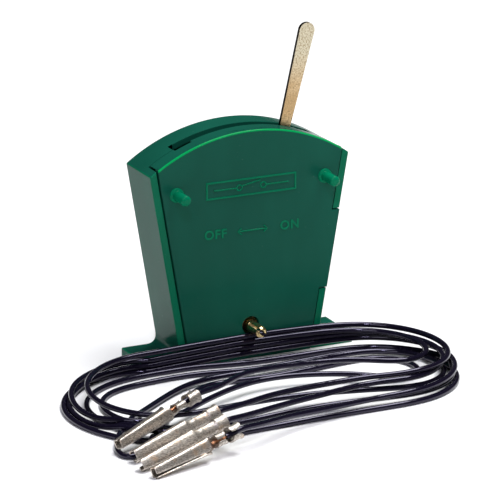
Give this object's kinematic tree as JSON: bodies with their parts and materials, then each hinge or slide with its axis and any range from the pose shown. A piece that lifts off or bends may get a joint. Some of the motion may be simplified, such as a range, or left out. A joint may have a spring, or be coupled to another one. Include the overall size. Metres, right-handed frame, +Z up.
{
  "type": "lever switch",
  "caption": "Lever switch for a model railway: a fan-shaped green case with screw feet, a swinging metal lever, a split pivot pin, and coiled leads with crimped plugs.",
  "frame": {"origin": "centre of the case's base, on the surface that the case stands on", "axes": "+Z up out of the base along the upright lever, +Y from the cover with the pegs to the back, +X towards the side with the plug sockets"},
  "size_m": [0.0992, 0.0799, 0.0815],
  "materials": {
    "green_plastic": "glossy moulded plastic, deep bottle green",
    "lever_metal": "nickel-plated strip, speckled, pale warm gold",
    "pivot_brass": "turned brass, slightly dull",
    "spring_steel": "blued spring steel",
    "contact_brass": "stamped brass strip",
    "contact_silver": "silver contact",
    "plug_metal": "tinned, slightly rough",
    "strand_copper": "bare copper strands",
    "black_insulation": "glossy flexible insulation, blue-black"
  },
  "bodies": {
    "case": {"rear_casing": "green_plastic", "front_cover": "green_plastic", "pivot_pin": "pivot_brass", "retaining_collar": "pivot_brass", "spring_washer": "spring_steel", "common_contact": "contact_brass", "fixed_contact": "contact_brass", "contact_button": "contact_silver", "plug_1": "plug_metal", "conductor_1": "strand_copper", "lead_tail_1": "black_insulation", "plug_2": "plug_metal", "conductor_2": "strand_copper", "lead_tail_2": "black_insulation", "plug_3": "plug_metal", "conductor_3": "strand_copper", "lead_tail_3": "black_insulation", "plug_4": "plug_metal", "conductor_4": "strand_copper", "lead_tail_4": "black_insulation", "lead_a_hank": "black_insulation", "lead_b_hank": "black_insulation"},
    "lever": {"switch_lever": "lever_metal", "lever_bush": "pivot_brass"}
  },
  "joints": [
    {"name": "lever_swing", "type": "hinge", "parent": "case", "child": "lever", "pos_m": [0, -0.00105, 0.0085], "axis": [0, 1, 0], "range_deg": [-33.6, 5.6]}
  ]
}
